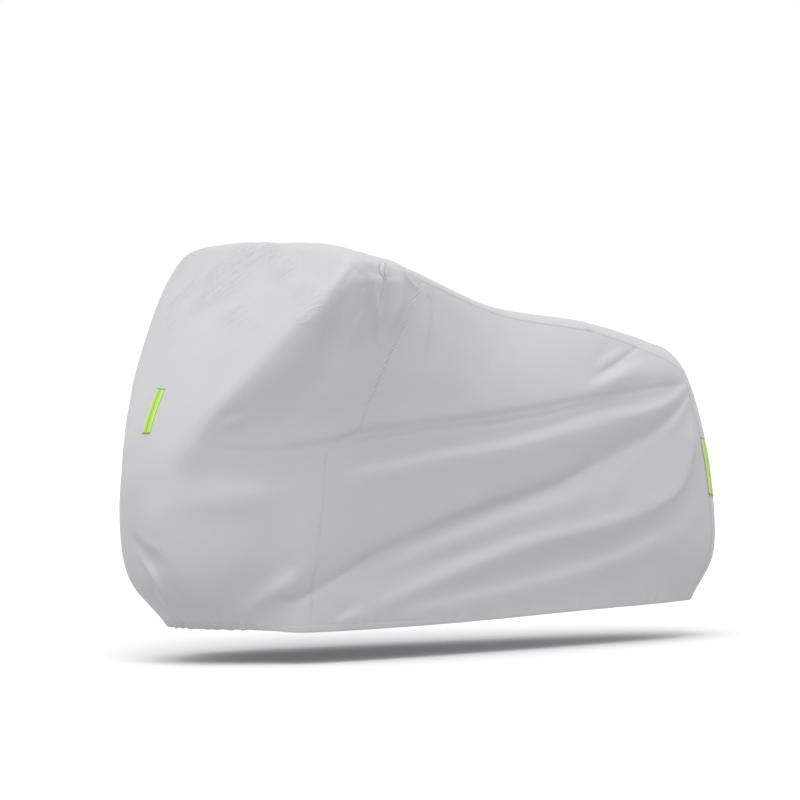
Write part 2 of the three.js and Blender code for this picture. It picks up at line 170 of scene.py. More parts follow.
def smooth_normals(around, down):
    """Outward directions of the smooth near half: cross
    product of the steps to neighbours 0.02 away each way."""
    step = 0.02
    along = smooth_cloth(around + step, down) - smooth_cloth(around - step, down)
    below = smooth_cloth(around, down + step) - smooth_cloth(around, down - step)
    normals = np.cross(below, along)
    length = np.linalg.norm(normals, axis=-1, keepdims=True)
    return np.where(length > 1e-9, normals / np.maximum(length, 1e-9), (0.0, 0.0, 1.0))


def smoothstep(values, low, high):
    """0 below low, 1 above high, and 3t^2 - 2t^3 between them."""
    t = np.clip((values - low) / (high - low), 0, 1)
    return t * t * (3 - 2 * t)


def curve_through(corners, steps):
    """Points of a smooth line through corners: each stretch is a cubic whose
    slope at a corner is half the step between the corner's two neighbours."""
    corners = np.array(corners, float)
    ends = [2 * corners[0] - corners[1]], [2 * corners[-1] - corners[-2]]
    padded = np.concatenate([ends[0], corners, ends[1]])
    place = np.linspace(0, len(corners) - 1, steps + 1)
    index = np.clip(np.floor(place).astype(int), 0, len(corners) - 2)
    weights = curve_weights(np.arange(len(corners), dtype=float), index, place - index)
    return sum(weights[k][:, None] * padded[index + k] for k in range(4))


# Main folds, as in the solids but for the flap and the ridge low on the front, which are lower here because
# finer creases carry the rest of them. A path runs over the side in x and z, or over the front in y and z.
# rise is the height at the path's start, middle and end, and reach the half width at its start and end, in
# millimetres. right is the reach of the right side, as seen along the path, where the two sides differ.
MAIN_FOLDS = [
    dict(name="edge of the front", face="near", form="sharp", rise=(2, 20, 8), reach=(64, 76), right=(30, 36),
         path=[(-34, 1112), (-110, 1036), (-172, 958), (-239, 870), (-315, 751), (-364, 682), (-394, 599)]),
    dict(name="trough below the near corner", face="near", rise=(-4, -11, -3), reach=(34, 36), right=(24, 26),
         path=[(-36, 1086), (-58, 1038), (-76, 970), (-72, 880), (-62, 791)]),
    dict(name="ridge below the near corner", face="near", rise=(3, 7, 0), reach=(38, 44), right=(26, 32),
         path=[(-6, 1052), (-6, 960), (8, 860)]),
    dict(name="tuck", face="near", rise=(2, 7, 5), reach=(20, 22),
         path=[(124, 1120), (98, 1092), (86, 1060)]),
    dict(name="ridge below the tuck", face="near", rise=(4, 8, 0), reach=(20, 26),
         path=[(60, 1056), (78, 984), (100, 900)]),
    dict(name="ridge before the seam", face="near", rise=(3, 8, 0), reach=(28, 24),
         path=[(165, 1062), (160, 990), (135, 890)]),
    dict(name="ridge behind the seam", face="near", rise=(3, 7, 0), reach=(20, 24), right=(34, 44),
         path=[(312, 1010), (302, 930), (282, 810)]),
    dict(name="fold over the long crease", face="near", form="sharp", rise=(2, 7, 4), reach=(44, 50),
         right=(22, 20),
         path=[(-300, 606), (-180, 614), (-37, 634), (78, 656), (241, 668), (516, 688), (837, 714),
               (1178, 750), (1330, 765)]),
    dict(name="ridge under the long crease", face="near", rise=(3, 9, 8), reach=(30, 26), right=(70, 46),
         path=[(38, 503), (434, 556), (829, 606), (1091, 650), (1400, 726)]),
    dict(name="deep valley", face="near", form="sharp", rise=(-9, -20, -9), reach=(52, 40), right=(56, 60),
         path=[(-150, 160), (0, 228), (239, 310), (530, 392), (865, 482), (1172, 583), (1346, 675),
               (1400, 715)]),
    dict(name="ridge under the valley", face="near", rise=(2, 7, 2), reach=(30, 34),
         path=[(180, 262), (377, 312), (600, 370), (845, 416), (1050, 455)]),
    dict(name="trough over the swell", face="near", rise=(-2, -5, 0), reach=(28, 30),
         path=[(40, 212), (236, 240), (377, 266), (540, 300), (720, 345)]),
    dict(name="crest of the swell", face="near", form="sharp", rise=(4, 13, 12), reach=(34, 110),
         right=(32, 38),
         path=[(99, 135), (237, 170), (526, 260), (828, 326), (1018, 350), (1160, 378), (1281, 425),
               (1350, 494), (1385, 575)]),
    dict(name="trough under the swell", face="near", rise=(-2, -7, -3), reach=(36, 38),
         path=[(430, 178), (849, 258), (1208, 322), (1350, 395), (1430, 560)]),
    dict(name="low ridge to the hem", face="near", rise=(3, 6, 2), reach=(28, 32), right=(50, 50),
         path=[(284, 126), (614, 168), (1005, 233), (1268, 322), (1350, 385)]),
    dict(name="ridge at the foot of the valley", face="near", rise=(3, 12, 3), reach=(36, 32),
         path=[(-95, 258), (-150, 215), (-230, 148)]),
    dict(name="ridge over the tail", face="near", rise=(2, 9, 5), reach=(32, 48), right=(26, 28),
         path=[(930, 732), (1050, 762), (1150, 782), (1300, 792)]),
    dict(name="band across the front", face="near", rise=(1, 4, 0), reach=(60, 46), right=(34, 30),
         path=[(-430, 450), (-300, 458), (-110, 474)]),
    dict(name="flap low on the front", face="front", rise=(-2, -7, -2), reach=(26, 30),
         path=[(10, 350), (-38, 314), (-74, 282), (-88, 226)]),
    dict(name="ridge low on the front", face="front", rise=(1, 3, 1), reach=(20, 22),
         path=[(-21, 318), (-44, 284), (-60, 250), (-66, 205), (-52, 160)]),
    dict(name="far ridge to the tail", face="far", rise=(4, 10, 6), reach=(34, 30), right=(60, 40),
         path=[(60, 500), (620, 590), (1380, 720)]),
    dict(name="far valley", face="far", form="sharp", rise=(-6, -16, -8), reach=(52, 40), right=(56, 50),
         path=[(-120, 200), (300, 372), (820, 480), (1360, 690)]),
    dict(name="far ridge under the valley", face="far", rise=(3, 10, 4), reach=(40, 60), right=(36, 36),
         path=[(200, 230), (700, 345), (1280, 500)]),
    dict(name="far trough below the corner", face="far", rise=(-4, -7, 0), reach=(30, 40),
         path=[(10, 1050), (20, 940), (0, 790)]),
    dict(name="far ridge behind the corner", face="far", rise=(4, 7, 0), reach=(30, 42),
         path=[(150, 1060), (150, 940), (120, 790)]),
]

# Finer creases. A sharp one is a thin ridge or trough, and
# a step is a fold edge, higher on the right of its path.
CREASES = [
    dict(name="long crease, upper line", face="near", form="sharp", rise=(-2, -4, -3), reach=(9, 8),
         path=[(-306, 601), (-180, 600), (-37, 620), (78, 646), (241, 657), (516, 676), (837, 701),
               (1050, 725), (1263, 744), (1380, 749)]),
    dict(name="long crease, lower line", face="near", form="sharp", rise=(-1, -4, -1), reach=(6, 7),
         path=[(40, 613), (154, 627), (358, 642), (716, 669), (959, 696), (1120, 722)]),
    dict(name="light streak along the side", face="near", form="step", rise=(3, 4, 4), reach=(44, 40),
         path=[(18, 528), (140, 544), (434, 582), (706, 613), (1024, 674), (1241, 689), (1317, 706),
               (1396, 745)]),
    dict(name="valley line, thin end", face="near", form="sharp", rise=(-4, -8, -1), reach=(8, 11),
         path=[(-90, 186), (-4, 226), (60, 256), (152, 303), (276, 344)]),
    dict(name="valley, upper wall", face="near", form="step", rise=(-2, -5, -3), reach=(40, 44),
         path=[(60, 262), (152, 308), (276, 350), (460, 404), (653, 444), (846, 486), (1010, 540)]),
    dict(name="valley, lower wall", face="near", form="step", rise=(2, 4, 4), reach=(44, 60),
         path=[(239, 300), (379, 336), (530, 376), (685, 418), (845, 455), (960, 505), (1120, 560),
               (1271, 622)]),
    dict(name="light streak over the swell", face="near", form="step", rise=(3, 5, 3), reach=(50, 60),
         path=[(99, 152), (237, 191), (383, 241), (526, 281), (676, 317), (828, 345), (1018, 370),
               (1170, 398)]),
    dict(name="light streak to the hem", face="near", form="step", rise=(3, 4, 2), reach=(44, 50),
         path=[(210, 135), (462, 166), (765, 207), (1005, 250), (1165, 286), (1268, 342)]),
    dict(name="light patch by the hem", face="near", form="step", rise=(2, 4, 0), reach=(30, 40),
         path=[(10, 128), (60, 136), (150, 158)]),
    dict(name="foot of the valley, dark end", face="near", form="sharp", rise=(-3, -6, -3), reach=(8, 10),
         path=[(-160, 178), (-128, 174), (-95, 184), (-60, 202)]),
    dict(name="edge of the light patch", face="near", form="step", rise=(2, 4, 2), reach=(54, 60),
         path=[(-243, 166), (-208, 181), (-160, 230), (-106, 275)]),
    dict(name="left leg of the peak", face="near", form="sharp", rise=(3, 7, 3), reach=(22, 24),
         right=(11, 14), path=[(-32, 1108), (-53, 1082), (-77, 1046), (-98, 1020), (-114, 985)]),
    dict(name="line along the left leg", face="near", form="sharp", rise=(-1, -3, -2), reach=(5, 6),
         path=[(-16, 1104), (-38, 1076), (-58, 1048)]),
    dict(name="shelf under the top", face="near", form="step", rise=(4, 8, 5), reach=(190, 190),
         right=(70, 70), path=[(-6, 1092), (60, 1086), (120, 1082), (196, 1074)]),
    dict(name="right leg of the peak", face="near", form="sharp", rise=(-2, -4, 0), reach=(5, 7),
         path=[(-24, 1108), (-11, 1085), (4, 1064)]),
    dict(name="dark line below the corner", face="near", form="sharp", rise=(0, -5, -3), reach=(12, 16),
         path=[(-102, 1000), (-102, 950), (-98, 901), (-87, 847), (-80, 791)]),
    dict(name="light fold below the corner", face="near", form="step", rise=(2, 3, 0), reach=(26, 34),
         path=[(-66, 1022), (-62, 970), (-56, 900)]),
    dict(name="dark tongue below the corner", face="near", form="step", rise=(0, -3, 0), reach=(40, 40),
         path=[(36, 1004), (10, 985), (-6, 955), (-12, 910), (-10, 870)]),
    dict(name="bright line below the tuck", face="near", form="sharp", rise=(8, 13, 5), reach=(13, 15),
         right=(8, 9), path=[(30, 1066), (50, 1010), (67, 956), (98, 888)]),
    dict(name="dark line below the tuck", face="near", form="sharp", rise=(-6, -8, 0), reach=(7, 8),
         path=[(84, 1058), (78, 1012), (76, 970)]),
    dict(name="edge of the wedge", face="near", form="sharp", rise=(7, 11, 3), reach=(42, 26), right=(22, 18),
         path=[(178, 1072), (163, 1023), (150, 988), (139, 948), (122, 895)]),
    dict(name="ridge at the top of the seam", face="near", form="sharp", rise=(2, 5, 3), reach=(9, 9),
         path=[(200, 1086), (241, 1056), (270, 1042)]),
    dict(name="dark line behind the seam", face="near", form="sharp", rise=(-3, -4, 0), reach=(10, 14),
         path=[(336, 1004), (330, 940), (312, 860)]),
    dict(name="cross crease under the tuck", face="near", form="sharp", rise=(0, -3, 0), reach=(5, 5),
         path=[(16, 1086), (60, 1080), (124, 1072), (186, 1072)]),
    dict(name="left side of the tuck", face="near", form="sharp", rise=(-1, -3, -3), reach=(4, 4),
         path=[(112, 1119), (90, 1110), (75, 1092), (81, 1070)]),
    dict(name="right side of the tuck", face="near", form="sharp", rise=(-1, -3, -3), reach=(4, 4),
         path=[(136, 1116), (122, 1110), (97, 1091), (92, 1070)]),
    dict(name="short crease beside the tuck", face="near", form="sharp", rise=(0, -3, 0), reach=(6, 6),
         path=[(-10, 1042), (7, 1045), (27, 1049)]),
    dict(name="dark hollow behind the seam", face="near", form="sharp", rise=(0, -4, 0), reach=(8, 8),
         path=[(326, 1026), (320, 1012), (316, 1000)]),
    dict(name="crease above the tail", face="near", form="sharp", rise=(-3, -5, 0), reach=(6, 9),
         path=[(1204, 858), (1117, 824), (1045, 797), (955, 765)]),
    dict(name="light fold above the tail", face="near", form="step", rise=(2, 7, 2), reach=(40, 50),
         path=[(950, 746), (1039, 776), (1132, 806), (1221, 826)]),
    dict(name="lens over the tail crease", face="near", form="step", rise=(0, 5, 0), reach=(40, 40),
         path=[(985, 800), (1070, 838), (1180, 868)]),
    dict(name="crest of the bright tip", face="near", form="sharp", rise=(0, 4, 3), reach=(12, 9),
         path=[(1120, 676), (1215, 686), (1301, 706), (1360, 734), (1402, 752)]),
    dict(name="edge of the dark tip", face="near", form="step", rise=(0, 6, 3), reach=(44, 24),
         path=[(1150, 572), (1271, 625), (1346, 672), (1396, 722)]),
    dict(name="edge of the bright face", face="near", form="step", rise=(0, -5, -4), reach=(40, 40),
         path=[(1018, 348), (1160, 368), (1281, 410), (1350, 470), (1388, 560)]),
    dict(name="upright ridge under the rear corner", face="near", form="sharp", rise=(3, 5, 0), reach=(7, 9),
         path=[(1392, 700), (1390, 640), (1386, 571), (1380, 500)]),
    dict(name="slit along the top strip", face="near", form="sharp", rise=(0, -8, 0), reach=(4, 4),
         path=[(1000, 917), (1035, 911), (1070, 903)]),
    dict(name="short streak on the side", face="near", form="step", rise=(1, 3, 0), reach=(22, 26),
         path=[(-336, 672), (-309, 690), (-258, 718)]),
    dict(name="faint band, upper", face="near", form="step", rise=(1, 2, 0), reach=(70, 80),
         path=[(-440, 508), (-360, 512), (-270, 506), (-150, 520)]),
    dict(name="faint band, lower", face="near", form="step", rise=(1, 2, 1), reach=(80, 80),
         path=[(-436, 470), (-300, 480), (-110, 500)]),
    dict(name="edge of the flap", face="front", form="step", rise=(2, 4, 2), reach=(30, 30), right=(20, 20),
         path=[(6, 366), (-28, 346), (-65, 326), (-93, 309), (-103, 272)]),
    dict(name="hollow below the flap", face="front", rise=(-2, -7, -3), reach=(8, 9), right=(22, 24),
         path=[(-18, 318), (-45, 292), (-67, 264), (-77, 228)]),
    dict(name="bright line below the flap", face="front", form="sharp", rise=(2, 7, 3), reach=(5, 6),
         path=[(-8, 314), (-33, 288), (-56, 262), (-66, 225), (-60, 195), (-52, 173)]),
    dict(name="dark line below the flap", face="front", form="sharp", rise=(0, -6, -3), reach=(9, 10),
         path=[(-12, 298), (-26, 265), (-38, 229), (-28, 180)]),
    dict(name="dark spot by the hem", face="front", form="sharp", rise=(0, -6, 0), reach=(8, 8),
         path=[(-105, 238), (-106, 215), (-98, 192), (-90, 172)]),
    dict(name="far crease along the side", face="far", form="sharp", rise=(-1, -4, -2), reach=(9, 8),
         path=[(20, 600), (480, 660), (1000, 730), (1390, 745)]),
    dict(name="far streak", face="far", form="step", rise=(2, 4, 2), reach=(44, 40),
         path=[(-60, 480), (400, 560), (900, 650)]),
    dict(name="far valley wall", face="far", form="step", rise=(2, 5, 3), reach=(44, 50),
         path=[(60, 260), (400, 380), (900, 490)]),
    dict(name="far fan", face="far", form="sharp", rise=(0, 5, 3), reach=(16, 10),
         path=[(1000, 660), (1230, 690), (1400, 740)]),
]

# Slits of the tuck, where the cloth is drawn together, painted as shade: they only darken the cloth's colour.
# Here rise is how dark the painted shade is, and not a height.
SLIT_PAINTED_SHADES = [
    dict(name="left slit", face="near", rise=(0.4, 1.2, 2.2), reach=(3, 5),
         path=[(112, 1119), (90, 1110), (75, 1092), (81, 1070)]),
    dict(name="right slit", face="near", rise=(0.3, 0.9, 2.2), reach=(3, 5),
         path=[(136, 1116), (122, 1110), (97, 1091), (92, 1070)]),
]
FACES = {
    "near": (np.array([0.0, -1.0, 0.0]), 0),
    "far": (np.array([0.0, 1.0, 0.0]), 0),
    "front": (np.array([-1.0, 0.0, 0.0]), 1),
}
PATH_STEPS = 18
CREASE_WANDER = 1.5 * MM


def waves(points, seed, count, shortest, longest):
    """Sum of count plane waves cos(k.p + phase) with random directions and with
    wavelengths from shortest to longest, divided so that its typical size is 1."""
    random = np.random.default_rng(seed)
    total = np.zeros(points.shape[:-1])
    for _ in range(count):
        direction = random.normal(size=3)
        direction /= np.linalg.norm(direction)
        wavelength = shortest * (longest / shortest) ** random.random()
        total += np.cos(points @ direction * (2 * math.pi / wavelength) + random.random() * 2 * math.pi)
    return total / math.sqrt(count / 2)


def fold_height(points, normals, folds, fade, wander):
    """Height of folds at points of the smooth cloth: for each fold, rise(place) times
    its profile of distance / reach, times a factor that goes from 0 to 1 as the cloth
    turns to the fold's face. With q for distance / reach, a soft profile is exp(-q^2), a
    sharp one exp(0.4 - sqrt(q^2 + 0.16) - 0.2 q^2), and a step is tanh of the way across
    over 0.22 reach, times exp(-q^2). wander is how far the middle lines stray."""
    height = np.zeros(points.shape[:-1])
    stray = np.stack([waves(points, 11, 6, 0.12, 0.5), waves(points, 12, 6, 0.12, 0.5)], axis=-1) * wander
    for fold in folds:
        outward, axis = FACES[fold["face"]]
        line = curve_through(fold["path"], PATH_STEPS) * MM - (0, HANG_HEIGHT * MM)
        flat = np.stack([points[..., axis], points[..., 2]], axis=-1) + stray
        right = fold.get("right", fold["reach"])
        margin = 3.5 * max(fold["reach"] + right) * MM
        inside = np.all((flat > line.min(axis=0) - margin) & (flat < line.max(axis=0) + margin), axis=-1)
        inside &= normals @ outward > fade[0]
        if not inside.any():
            continue
        spots = flat[inside]
        nearest = np.full(len(spots), np.inf)
        side = np.zeros(len(spots))
        place = np.zeros(len(spots))
        for k in range(PATH_STEPS):
            start, step = line[k], line[k + 1] - line[k]
            share = np.clip((spots - start) @ step / (step @ step), 0, 1)
            apart = spots - start - share[:, None] * step
            distance = np.linalg.norm(apart, axis=1)
            closer = distance < nearest
            nearest = np.where(closer, distance, nearest)
            beside = (step[0] * apart[:, 1] - step[1] * apart[:, 0]) / np.linalg.norm(step)
            side = np.where(closer, beside, side)
            place = np.where(closer, (k + share) / PATH_STEPS, place)
        start, middle, end = np.array(fold["rise"]) * MM
        rise = start + (middle - start) * smoothstep(place, 0, 0.5)
        rise += (end - middle) * smoothstep(place, 0.5, 1)
        left_reach = fold["reach"][0] + (fold["reach"][1] - fold["reach"][0]) * place
        right_reach = right[0] + (right[1] - right[0]) * place
        left_share = 0.5 + 0.5 * side / np.maximum(nearest, 1e-9)
        reach = (right_reach + (left_reach - right_reach) * left_share) * MM
        far = nearest / reach
        form = fold.get("form", "soft")
        if form == "sharp":
            profile = np.exp(0.4 - np.sqrt(far**2 + 0.16) - 0.2 * far**2)
        elif form == "step":
            profile = -np.tanh(side / (0.22 * reach)) * np.exp(-(far**2)) * smoothstep(place, 0, 0.12)
            profile *= 1 - smoothstep(place, 0.9, 1)
        else:
            profile = np.exp(-(far**2))
        height[inside] += rise * profile * smoothstep(normals[inside] @ outward, *fade)
    return height


def folded_height(points, normals):
    """Height of the main folds and the creases together at points of the smooth cloth."""
    height = fold_height(points, normals, MAIN_FOLDS, (0, 0.4), 0)
    return height + fold_height(points, normals, CREASES, (0, 0.3), CREASE_WANDER)


# Seams and hem. The long seams are drawn in and puckered by their stitches,
# the seams of the narrow strip lie flat, and the hem is turned under once and
# stitched, with gathers where elastic draws it in at the front and the back.
SEAM_DIP = 0.2 * MM
SEAM_HALF_WIDTH = 4 * MM
SEAM_CALM = 0.74
PUCKER_HEIGHT = 0.6 * MM
PUCKER_LENGTH = 50 * MM
PUCKER_REACH = 20 * MM
STRIP_SEAM_DIP = 0.6 * MM
STRIP_SEAM_HALF_WIDTH = 3 * MM
# Painted shade: how much the cloth's colour is darkened in the dip of a seam of the strip.
STRIP_SEAM_PAINTED_SHADE = 0.3
STRIP_PUCKER_HEIGHT = 0.35 * MM
STRIP_PUCKER_LENGTH = 23 * MM
STRIP_PUCKER_REACH = 12 * MM
HEM_WIDTH = 20 * MM
HEM_LIFT = 0.9 * MM
HEM_SWAY_HEIGHT = 1.2 * MM
HEM_SWAY_LENGTH = 70 * MM
HEM_SWAY_REACH = 50 * MM
HEM_GROOVE_DEPTH = 0.9 * MM
HEM_GROOVE_HALF_WIDTH = 1.6 * MM
HEM_GROOVE_PLACE = 17 * MM
# Painted shade at the hem: how much the cloth's colour is darkened at its edge, and how fast that fades.
HEM_PAINTED_SHADE = 0.4
HEM_PAINTED_SHADE_REACH = 6 * MM
GATHERED_ROWS = 3.6
GATHERED_BACK = 0.6
GATHER_SEEDS = {-1: 7, 1: 8}
GATHER_HEIGHT = 2.6 * MM
GATHER_LENGTH = 36 * MM
GATHER_REACH = 36 * MM
SOFT_WAVE_HEIGHT = 0.6 * MM
CLOTH_THICKNESS = 0.8 * MM
HEM_GAP = 0.7 * MM


def ripple(along, wavelength, seed):
    """Uneven ripple from -1 to 1: a cosine of the way along a line, whose phase and size wander slowly."""
    random = np.random.default_rng(seed)
    phase = 2 * math.pi * along / wavelength
    for slower in (2.3, 3.9, 7.1):
        phase = phase + 1.3 * np.sin(2 * math.pi * along / (wavelength * slower) + random.random() * 6)
    size = 0.65 + 0.35 * np.sin(2 * math.pi * along / (wavelength * 5.3) + random.random() * 6)
    return np.cos(phase) * size


def border_distance(points, border, lead=0):
    """Distance of grid points from one border, along the grid's
    lines, and the way along that border, which starts at lead."""
    axis = 0 if border in ("first", "last") else 1
    steps = np.linalg.norm(np.diff(points, axis=axis), axis=-1)
    border_line = np.zeros_like(np.take(steps, [0], axis=axis))
    run = np.concatenate([border_line, np.cumsum(steps, axis=axis)], axis=axis)
    if border in ("last", "hem"):
        run = np.take(run, [-1], axis=axis) - run
    index = -1 if border in ("last", "hem") else 0
    line = np.take(points, index, axis=axis)
    way = lead + np.concatenate([[0], np.cumsum(np.linalg.norm(np.diff(line, axis=0), axis=1))])
    way = way[None, :] if axis == 0 else way[:, None]
    return run, np.broadcast_to(way, run.shape)


def line_lead(row, level):
    """Length of the smooth cloth along a row, from the middle of the top down to a level."""
    above = smooth_cloth(np.full(60, row), np.linspace(0, level, 60))
    return np.linalg.norm(np.diff(above, axis=0), axis=1).sum()


def seam_shape(apart, way):
    """Height of the cloth beside a long seam, apart from it
    and a way down it: slanting puckers and a narrow dip."""
    strength = 1 - 0.7 * smoothstep(way, SEAM_CALM - 0.06, SEAM_CALM + 0.06)
    dip = np.exp(-((apart / SEAM_HALF_WIDTH) ** 2))
    reach = np.exp(-((np.abs(apart) / PUCKER_REACH) ** 1.5))
    return strength * PUCKER_HEIGHT * ripple(way + apart, PUCKER_LENGTH, 5) * reach - SEAM_DIP * dip


def cloth_patch(side, around, down, borders):
    """Grid of one piece of the cloth, side -1 near or 1 far: smooth cloth plus normal times
    the sum of main folds, creases, soft waves, seam dips with puckers, and hem. borders
    names the kind of seam on first, last, top and hem. Returns points, normals, and layers
    of values for the material: the flat place, the painted shade that darkens the cloth's colour
    along the strip's seams, at the hem's edge and in the tuck's slits, the way along and away
    from the long seam and the hem, and how crinkled it is."""
    around, down = np.meshgrid(around, down, indexing="ij")
    half = np.array([1.0, -side, 1.0])
    base = smooth_cloth(around, down)
    points = base * half
    normals = smooth_normals(around, down) * half
    height = folded_height(points, normals)
    patchy = 0.6 + 0.4 * np.clip(waves(points, 21, 6, 0.3, 0.7), -1, 1)
    height += SOFT_WAVE_HEIGHT * patchy * waves(points, 22, 16, 0.08, 0.3)
    # Painted shade: a share of how far the cloth's colour is darkened, along the strip's seams, at the hem's
    # edge and in the tuck's slits.
    painted_shade_share = np.zeros(height.shape)
    seam_run, hem_run = np.zeros(height.shape), np.zeros(height.shape)
    seam_apart, hem_apart = np.full(height.shape, 1.0), np.full(height.shape, 1.0)
    for border, kind in borders.items():
        lead = 0
        if border in ("first", "last"):
            lead = line_lead(around[0 if border == "first" else -1, 0], down[0, 0])
        distance, way = border_distance(base, border, lead)
        if kind == "long":
            seam_run, seam_apart = way, distance if border == "first" else -distance
            height += seam_shape(seam_apart, seam_run)
        elif kind == "strip":
            dip = np.exp(-((distance / STRIP_SEAM_HALF_WIDTH) ** 2))
            height -= STRIP_SEAM_DIP * dip
            puckers = ripple(way, STRIP_PUCKER_LENGTH, 6) * np.exp(-distance / STRIP_PUCKER_REACH)
            height += STRIP_PUCKER_HEIGHT * puckers
            # Painted shade in the dip of the strip's seam.
            painted_shade_share = np.maximum(painted_shade_share, STRIP_SEAM_PAINTED_SHADE * dip)
        elif kind == "hem":
            gathered = np.exp(-((around / GATHERED_ROWS) ** 8))
            gathered += GATHERED_BACK * np.exp(-((around - LAST_ROW) ** 4))
            drawn = np.exp(-((distance / GATHER_REACH) ** 1.4))
            hem_run, hem_apart = way, distance + (1 - gathered) * 0.1
            height += GATHER_HEIGHT * gathered * drawn * ripple(way, GATHER_LENGTH, GATHER_SEEDS[side])
            height += HEM_SWAY_HEIGHT * np.exp(-distance / HEM_SWAY_REACH) * ripple(way, HEM_SWAY_LENGTH, 9)
            height += HEM_LIFT * smoothstep(HEM_WIDTH - distance, -2 * MM, 2 * MM)
            groove = np.exp(-(((distance - HEM_GROOVE_PLACE) / HEM_GROOVE_HALF_WIDTH) ** 2))
            height -= HEM_GROOVE_DEPTH * groove
            # Painted shade at the hem's edge.
            painted_shade_share = np.maximum(painted_shade_share, HEM_PAINTED_SHADE * np.exp(-distance / HEM_PAINTED_SHADE_REACH))
    # Painted shade in the tuck's slits.
    painted_shade_share = np.maximum(painted_shade_share, fold_height(points, normals, SLIT_PAINTED_SHADES, (0, 0.3), 0) / MM)
    points = points + normals * height[..., None]
    across, _ = border_distance(base, "first")
    along, _ = border_distance(base, "top")
    layers = {"flat_u": across + around * 0.2, "flat_v": along, "painted_shade_layer": painted_shade_share, "seam_run": seam_run,
              "seam_apart": seam_apart, "hem_run": hem_run, "hem_apart": hem_apart}
    front = smoothstep(normals @ (-1, 0, 0), 0.2, 0.6) * smoothstep(base[..., 2], -0.30, -0.16)
    top = smoothstep(normals @ (0, 0, 1), 0.5, 0.9) * smoothstep(-around, -2.4, -1.6) * 0.6
    layers["crinkle"] = np.clip(np.maximum(front, top), 0, 1)
    return points, normals, layers


def turn_hem_under(points, normals, layers):
    """Adds rows past the hem that turn inward on a small
    round and run back up inside the cloth for HEM_WIDTH."""
    edge, above = points[:, -1:], points[:, -2:-1]
    downward = edge - above
    downward /= np.linalg.norm(downward, axis=-1, keepdims=True)
    inward = -normals[:, -1:]
    depth = 2 * CLOTH_THICKNESS + HEM_GAP
    turn = [edge + inward * depth * (1 - math.cos(a)) / 2 + downward * depth * math.sin(a) / 2
            for a in (math.pi / 4, math.pi / 2, 3 * math.pi / 4)]
    steps = np.linalg.norm(np.diff(points[:, ::-1], axis=1), axis=-1)
    rows = int(np.argmax(np.cumsum(steps.mean(axis=0)) > HEM_WIDTH)) + 1
    back = points[:, ::-1][:, :rows] - normals[:, ::-1][:, :rows] * depth
    more = {}
    for name, values in layers.items():
        mirrored = values[:, ::-1][:, :rows]
        if name == "flat_v":
            mirrored = 2 * values[:, -1:] - mirrored
        more[name] = np.concatenate([values, np.repeat(values[:, -1:], 3, axis=1), mirrored], axis=1)
    return np.concatenate([points] + turn + [back], axis=1), more


def mesh_object(name, vertices, faces, material):
    """Object of one mesh from arrays of points and of faces, in the scene."""
    mesh = bpy.data.meshes.new(name)
    mesh.from_pydata(np.asarray(vertices).tolist(), [], faces if isinstance(faces, list) else faces.tolist())
    mesh.polygons.foreach_set("use_smooth", [True] * len(mesh.polygons))
    mesh.materials.append(material)
    piece = bpy.data.objects.new(name, mesh)
    bpy.context.collection.objects.link(piece)
    return piece


def panel_object(name, patches, material):
    """One sheet from grid patches. Points of neighbouring patches that coincide
    are merged, the layers become attributes of the points, the sheet's border
    is shaded sharp, and the sheet is given its thickness inward."""
    vertices, faces = [], []
    layers = {key: [] for key in patches[0][1]}
    start = 0
    for points, patch_layers, side in patches:
        rows, columns = points.shape[:2]
        ids = start + np.arange(rows * columns).reshape(rows, columns)
        corners = [ids[:-1, :-1], ids[:-1, 1:], ids[1:, 1:], ids[1:, :-1]]
        faces.append(np.stack(corners if side < 0 else corners[::-1], axis=-1).reshape(-1, 4))
        vertices.append(points.reshape(-1, 3))
        for key, values in patch_layers.items():
            layers[key].append(values.reshape(-1))
        start += rows * columns
    vertices, faces = np.concatenate(vertices), np.concatenate(faces)
    grid = np.round(vertices / (0.02 * MM)).astype(int)
    _, first, same = np.unique(grid, axis=0, return_index=True, return_inverse=True)
    merged = [list(dict.fromkeys(quad)) for quad in same.reshape(-1)[faces].tolist()]
    piece = mesh_object(name, vertices[first], [quad for quad in merged if len(quad) > 2], material)
    for key, values in layers.items():
        layer = piece.data.attributes.new(key, "FLOAT", "POINT")
        layer.data.foreach_set("value", np.concatenate(values)[first].astype(np.float32))
    edges = np.sort(np.array(piece.data.edge_keys), axis=1)
    sides = np.sort([pair for face in piece.data.polygons for pair in face.edge_keys], axis=1)
    scale = len(piece.data.vertices)
    used, times = np.unique(sides @ (scale, 1), return_counts=True)
    border = np.isin(edges @ (scale, 1), used[times == 1])
    piece.data.attributes.new("sharp_edge", "BOOLEAN", "EDGE").data.foreach_set("value", border)
    solid = piece.modifiers.new("thickness", "SOLIDIFY")
    solid.thickness = CLOTH_THICKNESS
    solid.offset = -1
    solid.use_rim = True
    return piece


def places(*stretches):
    """Running places for a grid line, from stretches of
    (start, stop, step): equal steps no longer than step."""
    values = [np.array([stretches[0][0]], float)]
    for start, stop, step in stretches:
        count = max(1, math.ceil(abs(stop - start) / step))
        values.append(np.linspace(start, stop, count + 1)[1:])
    return np.concatenate(values)


# Helpers for the materials
def new_material(name):
    """Empty node material with an output and one Principled shader."""
    material = bpy.data.materials.new(name)
    material.use_nodes = True
    tree = material.node_tree
    tree.nodes.clear()
    output = tree.nodes.new("ShaderNodeOutputMaterial")
    shader = tree.nodes.new("ShaderNodeBsdfPrincipled")
    tree.links.new(shader.outputs["BSDF"], output.inputs["Surface"])
    return material, tree, shader


